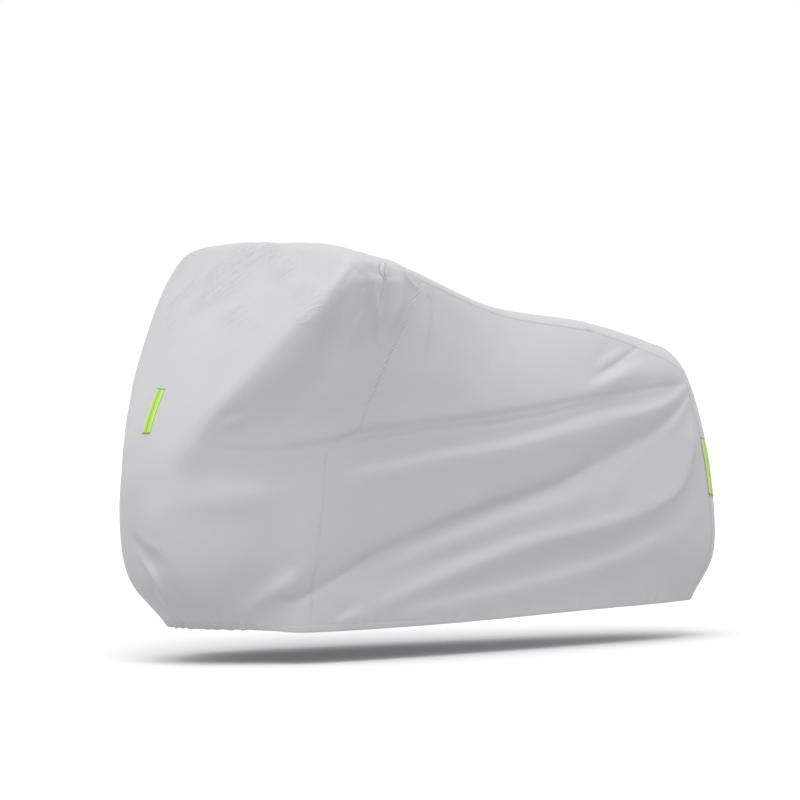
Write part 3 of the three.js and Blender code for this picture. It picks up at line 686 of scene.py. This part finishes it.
def node(tree, kind, inputs=(), **settings):
    """New node of a kind, with its settings, and inputs given as values or as sockets to link."""
    made = tree.nodes.new(kind)
    for key, value in settings.items():
        setattr(made, key, value)
    for key, value in dict(inputs).items():
        if isinstance(value, bpy.types.NodeSocket):
            tree.links.new(value, made.inputs[key])
        else:
            made.inputs[key].default_value = value
    return made


def formula(tree, operation, first, second=None, third=None):
    """Output of a Math node on one to three values or sockets."""
    values = {index: value for index, value in enumerate((first, second, third)) if value is not None}
    return node(tree, "ShaderNodeMath", values, operation=operation).outputs[0]


def layer_value(tree, name):
    """Value of a layer that the mesh carries."""
    return node(tree, "ShaderNodeAttribute", attribute_name=name).outputs["Fac"]


def ranged(tree, value, low, high, start=0.0, stop=1.0):
    """Value carried over from the range low to high to the range start to stop."""
    inputs = {"Value": value, "From Min": low, "From Max": high, "To Min": start, "To Max": stop}
    return node(tree, "ShaderNodeMapRange", inputs).outputs[0]


def blended(tree, share, first, second):
    """Colour that goes from first to second as share goes from 0 to 1."""
    inputs = {"Factor": share, "A": first, "B": second}
    return node(tree, "ShaderNodeMix", inputs, data_type="RGBA").outputs["Result"]


def bumped(tree, height, strength, distance, before=None):
    """Direction of a surface with fine relief of a height, on top of the relief before."""
    inputs = {"Height": height, "Strength": strength, "Distance": distance}
    if before is not None:
        inputs["Normal"] = before
    return node(tree, "ShaderNodeBump", inputs).outputs[0]


def noise(tree, place, scale, detail, distortion=0.0):
    """Soft noise from 0 to 1 over a place."""
    inputs = {"Vector": place, "Scale": scale, "Detail": detail, "Distortion": distortion}
    return node(tree, "ShaderNodeTexNoise", inputs).outputs["Fac"]


# Coated polyester, silver-grey. Fine plain weave under the coating, faint
# soft mottling, hairline crinkles where it is stretched over the front, and
# fine gathers that run slanting across the long seams and up from the hem.
CLOTH_COLOUR = (0.512, 0.506, 0.524, 1)
CLOTH_SHADE = (0.484, 0.478, 0.498, 1)
# Colour of the painted shade along the strip's seams, at the hem's edge and in the tuck's slits, and how much
# of it is mixed in.
PAINTED_SHADE_COLOUR = (0.33, 0.325, 0.345, 1)
PAINTED_SHADE_STRENGTH = 0.55
THREAD_PITCH = 0.7 * MM
CRINKLE_ACROSS = (-0.396, -0.79, -0.465)
CRINKLE_ALONG = (0.51, -0.61, 0.60)
CRINKLE_WIDTH = 13 * MM
CRINKLE_LENGTH = 95 * MM
CRINKLE_HEIGHT = 11 * MM
SEAM_GATHER_LENGTH = 25 * MM
SEAM_GATHER_REACH = 16 * MM
SEAM_GATHER_SLANT = 1.3
SEAM_GATHER_HEIGHT = 0.55 * MM
HEM_GATHER_LENGTH = 16 * MM
HEM_GATHER_REACH = 34 * MM
HEM_GATHER_SLANT = 0.5
HEM_GATHER_HEIGHT = 1.3 * MM
GATHER_WANDER = 7.0

cloth_material, tree, shader = new_material("coated_cloth")
shader.inputs["Roughness"].default_value = 0.52
shader.inputs["Specular IOR Level"].default_value = 0.42
shader.inputs["Sheen Weight"].default_value = 0.12
shader.inputs["Sheen Roughness"].default_value = 0.45
place = node(tree, "ShaderNodeTexCoord").outputs["Object"]
tone = blended(tree, noise(tree, place, 6.0, 4.0), CLOTH_SHADE, CLOTH_COLOUR)
# Painted shade: the cloth's colour is darkened where the mesh's layer of painted shade says so.
painted_shade_mix = formula(tree, "MULTIPLY", layer_value(tree, "painted_shade_layer"), PAINTED_SHADE_STRENGTH)
tree.links.new(blended(tree, painted_shade_mix, tone, PAINTED_SHADE_COLOUR), shader.inputs["Base Color"])

threads = [formula(tree, "SINE", formula(tree, "MULTIPLY", layer_value(tree, key), math.pi / THREAD_PITCH))
           for key in ("flat_u", "flat_v")]
weave = formula(tree, "MULTIPLY", threads[0], threads[1])
normal = bumped(tree, weave, 0.25, 0.08 * MM)
normal = bumped(tree, noise(tree, place, 34.0, 3.0), 0.35, 2.2 * MM, normal)


def way_along(direction):
    """How far a spot of the cloth lies along a direction."""
    return node(tree, "ShaderNodeVectorMath", {0: place, 1: direction}, operation="DOT_PRODUCT").outputs[1]


crinkle_place = node(tree, "ShaderNodeCombineXYZ", {
    "X": formula(tree, "DIVIDE", way_along(CRINKLE_ACROSS), CRINKLE_WIDTH),
    "Y": formula(tree, "DIVIDE", way_along(CRINKLE_ALONG), CRINKLE_LENGTH),
}).outputs[0]
crinkle = formula(tree, "MULTIPLY", noise(tree, crinkle_place, 1.0, 2.0, 0.35), layer_value(tree, "crinkle"))
crinkle = formula(tree, "MULTIPLY", crinkle, ranged(tree, noise(tree, place, 5.5, 1.0), 0.42, 0.6))
normal = bumped(tree, crinkle, 1.0, CRINKLE_HEIGHT, normal)


def gathers(run, apart, length, reach, slant):
    """Height of fine gathers: sin(2 pi (run + slant apart) / length), broken up by noise, times
    exp(-(apart / reach)^2)."""
    wander = formula(tree, "MULTIPLY", noise(tree, place, 40.0, 1.0), GATHER_WANDER)
    turn = formula(tree, "MULTIPLY_ADD", apart, slant, run)
    turn = formula(tree, "MULTIPLY_ADD", turn, 2 * math.pi / length, wander)
    fade = formula(tree, "POWER", formula(tree, "DIVIDE", apart, reach), 2.0)
    fade = formula(tree, "EXPONENT", formula(tree, "MULTIPLY", fade, -1.0))
    return formula(tree, "MULTIPLY", formula(tree, "SINE", turn), fade)


seam_run = layer_value(tree, "seam_run")
seam_gathers = gathers(seam_run, layer_value(tree, "seam_apart"), SEAM_GATHER_LENGTH, SEAM_GATHER_REACH,
                       SEAM_GATHER_SLANT)
seam_upper = ranged(tree, seam_run, SEAM_CALM - 0.06, SEAM_CALM + 0.06, 1.0, 0.25)
normal = bumped(tree, formula(tree, "MULTIPLY", seam_gathers, seam_upper), 1.0, SEAM_GATHER_HEIGHT, normal)
hem_gathers = gathers(layer_value(tree, "hem_run"), layer_value(tree, "hem_apart"), HEM_GATHER_LENGTH,
                      HEM_GATHER_REACH, HEM_GATHER_SLANT)
normal = bumped(tree, hem_gathers, 1.0, HEM_GATHER_HEIGHT, normal)
tree.links.new(normal, shader.inputs["Normal"])

# Sewing thread, a shade darker than the cloth
thread_material, _, shader = new_material("sewing_thread")
shader.inputs["Base Color"].default_value = (0.45, 0.45, 0.46, 1)
shader.inputs["Roughness"].default_value = 0.6

# Reflective strip: lime plastic film with a fine prism pattern, a lighter band along both edges, a
# darker one in the middle, and dark stitched ends. The bands are laid out over its own width and length.
LIME = (0.40, 0.645, 0.062, 1)
LIME_EDGE = (0.52, 0.72, 0.15, 1)
LIME_MIDDLE = (0.255, 0.45, 0.03, 1)
LIME_END = (0.17, 0.27, 0.04, 1)
MIDDLE_HALF = 0.17
EDGE_START = 0.78
END_LENGTH = 0.028

strip_material, tree, shader = new_material("reflective_film")
shader.inputs["Roughness"].default_value = 0.3
shader.inputs["Coat Weight"].default_value = 0.3
strip_across = formula(tree, "ABSOLUTE", layer_value(tree, "strip_across"))
strip_along = layer_value(tree, "strip_along")
middle = ranged(tree, strip_across, MIDDLE_HALF, MIDDLE_HALF + 0.12, 1.0, 0.0)
edge = formula(tree, "GREATER_THAN", strip_across, EDGE_START)
nearest_end = formula(tree, "MINIMUM", strip_along, formula(tree, "SUBTRACT", 1.0, strip_along))
end = formula(tree, "LESS_THAN", nearest_end, END_LENGTH)
colour = blended(tree, middle, LIME, LIME_MIDDLE)
colour = blended(tree, edge, colour, LIME_EDGE)
colour = blended(tree, end, colour, LIME_END)
tree.links.new(colour, shader.inputs["Base Color"])
prisms = node(tree, "ShaderNodeTexVoronoi", {"Vector": node(tree, "ShaderNodeTexCoord").outputs["Object"],
                                             "Scale": 420.0}).outputs["Distance"]
tree.links.new(bumped(tree, prisms, 0.35, 0.4 * MM), shader.inputs["Normal"])


def declare_panel(piece, node_name):
    """Attaches the panel to the root body and hides the imported solid of node_name, which it replaces."""
    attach(piece, "root")
    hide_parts(node_name)


# Levels of the hood and of both side panels are the same, so that their borders meet along the long seams
SIDE_LEVELS = places((2, 2.36, 0.0125), (2.36, 3.6, 0.031), (3.6, 5.84, 0.036), (5.84, 6, 0.0135))

# Front hood: one panel of coated cloth over the front, the top and the front part of both sides.
# It is sewn to the side panels along the long seams, and its hem is gathered by hidden elastic.
hood_rows = places((0, 2.2, 0.05), (2.2, 2.76, 0.04), (2.76, 3.14, 0.0105), (3.14, 3.7, 0.038),
                   (3.7, 4, 0.0175))
hood_levels = np.concatenate([places((0, 1.8, 0.12), (1.8, 2, 0.0125))[:-1], SIDE_LEVELS])
hood_patches = []
for side in (-1, 1):
    points, normals, layers = cloth_patch(side, hood_rows, hood_levels, {"last": "long", "hem": "hem"})
    points, layers = turn_hem_under(points, normals, layers)
    points[0, :, 1] = 0
    points[:, 0, 1] = 0
    hood_patches.append((points, layers, side))
near_points, far_points = hood_patches[0][0], hood_patches[1][0]
far_points[0] = near_points[0]
far_points[:, 0] = near_points[:, 0]
hood = panel_object("front_hood_cloth", hood_patches, cloth_material)
declare_panel(hood, "front_hood")

# Near side panel: from the long seam back to the tail, with
# the deep fan of folds that the tail pulls into it.
side_rows = places((4, 4.09, 0.0075), (4.09, 6.93, 0.0115), (6.93, 7, 0.0085))
side_borders = {"first": "long", "last": "strip", "top": "strip", "hem": "hem"}
points, normals, layers = cloth_patch(-1, side_rows, SIDE_LEVELS, side_borders)
points, layers = turn_hem_under(points, normals, layers)
near_side = panel_object("side_near_cloth", [(points, layers, -1)], cloth_material)
declare_panel(near_side, "side_near")

# Far side panel: the same cut on the hidden side, with milder folds.
far_rows = places((4, 4.09, 0.0085), (4.09, 6.93, 0.022), (6.93, 7, 0.0085))
points, normals, layers = cloth_patch(1, far_rows, SIDE_LEVELS, side_borders)
points, layers = turn_hem_under(points, normals, layers)
far_side = panel_object("side_far_cloth", [(points, layers, 1)], cloth_material)
declare_panel(far_side, "side_far")

# Top and back strip: one narrow panel from the hood along the seat and down
# the back to the hem, lying flat between the seams of the side panels.
top_rows = places((4, 4.06, 0.0085), (4.06, 7, 0.018))
top_levels = places((0, 1.85, 0.075), (1.85, 2, 0.02))
back_rows = places((7, 7.15, 0.03), (7.15, 8, 0.045))
back_levels = places((0, 2, 0.06), (2, 5.84, 0.032), (5.84, 6, 0.0125))
strip_patches = []
for side in (-1, 1):
    points, normals, layers = cloth_patch(side, top_rows, top_levels, {"first": "long", "hem": "strip"})
    points[:, 0, 1] = 0
    strip_patches.append((points, layers, side))
    points, normals, layers = cloth_patch(side, back_rows, back_levels, {"first": "strip", "hem": "hem"})
    points, layers = turn_hem_under(points, normals, layers)
    points[-1, :, 1] = 0
    points[:, 0, 1] = 0
    strip_patches.append((points, layers, side))
strip_panel = panel_object("top_back_strip_cloth", strip_patches, cloth_material)
declare_panel(strip_panel, "top_back_strip")


def cloth_line(side, around, down, off, seam_shift=None):
    """Points of the finished cloth, off its outer face, along a line of places, with the outward
    directions there. seam_shift is given on a long seam, and is how far beside it the thread will lie."""
    base = smooth_cloth(around, down) * np.array([1.0, -side, 1.0])
    normals = smooth_normals(around, down) * np.array([1.0, -side, 1.0])
    height = folded_height(base, normals)
    if seam_shift is not None:
        way = np.concatenate([[0], np.cumsum(np.linalg.norm(np.diff(base, axis=0), axis=1))])
        height += seam_shape(seam_shift, way)
    return base + normals * (height + off)[..., None], normals


def stitches(points, normals, shift, pitch, length, radius):
    """Points and faces of short four-sided stitches laid along a line, shift to one side of it."""
    way = np.concatenate([[0], np.cumsum(np.linalg.norm(np.diff(points, axis=0), axis=1))])
    starts = np.arange(pitch / 2, way[-1] - pitch, pitch)

    def at(values):
        return np.stack([np.interp(values, way, points[:, k]) for k in range(3)], axis=1)

    outward = np.stack([np.interp(starts, way, normals[:, k]) for k in range(3)], axis=1)
    outward /= np.linalg.norm(outward, axis=1, keepdims=True)
    first, last = at(starts), at(starts + length)
    along = (last - first) / np.linalg.norm(last - first, axis=1, keepdims=True)
    sideways = np.cross(outward, along)
    middle = (first + last) / 2
    corners = []
    for centre, width in ((first, 0.2), (first * 0.75 + last * 0.25, 1.0), (first * 0.25 + last * 0.75, 1.0),
                          (last, 0.2)):
        bow = radius * (1.0 if width == 1.0 else 0.0)
        for up, out in ((0.0, 1.0), (1.0, 0.0), (0.0, -1.0), (-1.0, 0.0)):
            spot = centre + sideways * (shift + out * radius * width) + outward * (up * radius * width + bow)
            corners.append(spot)
    vertices = np.stack(corners, axis=1)
    ring = np.arange(4)
    faces = [[level * 4 + k, level * 4 + (k + 1) % 4, level * 4 + 4 + (k + 1) % 4, level * 4 + 4 + k]
             for level in range(3) for k in ring]
    faces += [[3, 2, 1, 0], [12, 13, 14, 15]]
    count = len(middle)
    all_faces = (np.array(faces)[None] + 16 * np.arange(count)[:, None, None]).reshape(-1, 4)
    return vertices.reshape(-1, 3), all_faces


# Stitching: two rows along each long seam, one along each seam of the strip, and one above the hem. Each
# stitch is a short separate piece of thread laid on the cloth.
STITCH_PITCH = 5.5 * MM
STITCH_LENGTH = 3.6 * MM
STITCH_RADIUS = 0.32 * MM
STITCH_LIFT = 0.1 * MM
HEM_STITCH_LIFT = 0.4 * MM
LONG_SEAM_SHIFT = 2.6 * MM
TOP_SEAM_LEVEL = 1.975
BACK_SEAM_ROW = 7.02
HEM_STITCH_LEVEL = 5.918
LAST_STITCH_LEVEL = 5.98
LINE_STEPS = 500
stitch_lines = []
for side in (-1, 1):
    for shift in (-LONG_SEAM_SHIFT, LONG_SEAM_SHIFT):
        down = np.linspace(0, LAST_STITCH_LEVEL, LINE_STEPS)
        stitch_lines.append((side, np.full(LINE_STEPS, float(SEAM_ROW)), down, shift, STITCH_LIFT))
    around = np.linspace(SEAM_ROW + 0.01, TAIL_ROW - 0.01, LINE_STEPS)
    stitch_lines.append((side, around, np.full(LINE_STEPS, TOP_SEAM_LEVEL), 0, STITCH_LIFT))
    down = np.linspace(SHOULDER_LEVEL, LAST_STITCH_LEVEL, LINE_STEPS)
    stitch_lines.append((side, np.full(LINE_STEPS, BACK_SEAM_ROW), down, 0, STITCH_LIFT))
    around = np.linspace(0, LAST_ROW, 2 * LINE_STEPS)
    stitch_lines.append((side, around, np.full(2 * LINE_STEPS, HEM_STITCH_LEVEL), 0, HEM_STITCH_LIFT))
vertices, faces = [], []
start = 0
for side, around, down, shift, off in stitch_lines:
    points, normals = cloth_line(side, around, down, off, shift if shift else None)
    spots, quads = stitches(points, normals, shift, STITCH_PITCH, STITCH_LENGTH, STITCH_RADIUS)
    vertices.append(spots)
    faces.append(quads + start)
    start += len(spots)
thread = mesh_object("seam_stitching", np.concatenate(vertices), np.concatenate(faces), thread_material)
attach(thread, "root")

# Reflective strips: two strips of lime film, 42 by 146 mm, sewn
# flat on the middle of the front and beside the middle of the back.
STRIP_WIDTH = 42 * MM
STRIP_LENGTH = 146 * MM
STRIP_BASE = 0.9 * MM
STRIP_TOP = 2.0 * MM
STRIPS = [
    dict(name="reflector_front", around=(-0.09, 0.05), top=3.24),
    dict(name="reflector_rear", around=(7.13, 7.13), top=3.5),
]


def net_step(around, down, turn, drop, length):
    """Step along the net, in turn rows and drop levels, that covers a length of the smooth cloth."""
    spots = smooth_cloth(np.array([around, around + 0.05 * turn]), np.array([down, down + 0.05 * drop]))
    return 0.05 * length / np.linalg.norm(spots[1] - spots[0])


for strip in STRIPS:
    half = net_step(strip["around"][1], strip["top"], 1, 0, STRIP_WIDTH / 2)
    reach = net_step(strip["around"][1], strip["top"], 0, 1, STRIP_LENGTH)
    across = np.concatenate([[-1.0], np.linspace(-0.97, 0.97, 15), [1.0]])
    along = np.concatenate([[0.0], np.linspace(0.008, 0.992, 36), [1.0]])
    u, v = np.meshgrid(across, along, indexing="ij")
    middle = strip["around"][0] + (strip["around"][1] - strip["around"][0]) * v
    outer, normals = cloth_line(-1, middle + half * u, strip["top"] + reach * v, 0)
    rounded = np.where((np.abs(u) > 0.98) | (v < 0.004) | (v > 0.996), 0.4 * MM, 0.0)
    outer = outer + normals * (STRIP_TOP - rounded)[..., None]
    inner = outer - normals * (STRIP_TOP - STRIP_BASE)
    rows, columns = u.shape
    ids = np.arange(rows * columns).reshape(rows, columns)
    quads = np.stack([ids[:-1, :-1], ids[:-1, 1:], ids[1:, 1:], ids[1:, :-1]], axis=-1).reshape(-1, 4)
    loop = np.concatenate([ids[0, :-1], ids[:-1, -1], ids[-1, :0:-1], ids[:0:-1, 0]])
    under = rows * columns
    rim = np.stack([np.roll(loop, -1), loop, loop + under, np.roll(loop, -1) + under], axis=-1)
    faces = np.concatenate([quads, quads[:, ::-1] + under, rim])
    both_sides = np.concatenate([outer.reshape(-1, 3), inner.reshape(-1, 3)])
    film = mesh_object(strip["name"] + "_film", both_sides, faces, strip_material)
    for key, values in (("strip_across", u), ("strip_along", v)):
        layer = film.data.attributes.new(key, "FLOAT", "POINT")
        layer.data.foreach_set("value", np.tile(values.reshape(-1), 2).astype(np.float32))
    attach(film, "root")
    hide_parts(strip["name"])

# Stage: a pale floor under the hanging cover
floor_mesh = bpy.data.meshes.new("floor")
FLOOR_HALF = 60
floor_corners = [(-FLOOR_HALF, -FLOOR_HALF), (FLOOR_HALF, -FLOOR_HALF), (FLOOR_HALF, FLOOR_HALF),
                 (-FLOOR_HALF, FLOOR_HALF)]
floor_mesh.from_pydata([(x, y, -HANG_HEIGHT * MM) for x, y in floor_corners], [], [(0, 1, 2, 3)])
floor_material, _, floor_shader = new_material("pale_floor")
floor_shader.inputs["Base Color"].default_value = (0.86, 0.86, 0.87, 1)
floor_shader.inputs["Roughness"].default_value = 0.9
floor_mesh.materials.append(floor_material)
floor = bpy.data.objects.new("floor", floor_mesh)
floor.visible_diffuse = False
floor.visible_glossy = False
bpy.context.collection.objects.link(floor)

# World: soft light from all round, less from below, and plain white where the camera looks past the floor
SKY_ABOVE = 0.90
SKY_BELOW = 0.84
world = bpy.data.worlds.new("studio")
world.use_nodes = True
sky = world.node_tree
sky.nodes.clear()
sky_place = node(sky, "ShaderNodeTexCoord")
sky_axes = node(sky, "ShaderNodeSeparateXYZ", {"Vector": sky_place.outputs["Generated"]})
sky_strength = ranged(sky, sky_axes.outputs["Z"], -0.5, 0.6, SKY_BELOW, SKY_ABOVE)
sky_light = node(sky, "ShaderNodeBackground", {"Strength": sky_strength})
sky_white = node(sky, "ShaderNodeBackground", {"Strength": 1.0})
for background in (sky_light, sky_white):
    background.inputs["Color"].default_value = (1, 1, 1, 1)
sky_ray = node(sky, "ShaderNodeLightPath")
sky_mix = node(sky, "ShaderNodeMixShader", {0: sky_ray.outputs["Is Camera Ray"], 1: sky_light.outputs[0],
                                            2: sky_white.outputs[0]})
node(sky, "ShaderNodeOutputWorld", {"Surface": sky_mix.outputs[0]})
bpy.context.scene.world = world

# Studio lamp: one big soft light, high in front and to the left of the camera
LAMP_DIRECTION = (-0.34, -0.26, 0.90)
lamp_data = bpy.data.lights.new("studio_lamp", "SUN")
lamp_data.energy = 1.7
lamp_data.angle = math.radians(50)
lamp = bpy.data.objects.new("studio_lamp", lamp_data)
lamp.rotation_euler = Vector(LAMP_DIRECTION).to_track_quat("Z", "Y").to_euler()
bpy.context.collection.objects.link(lamp)
bpy.context.scene.view_settings.view_transform = "Standard"
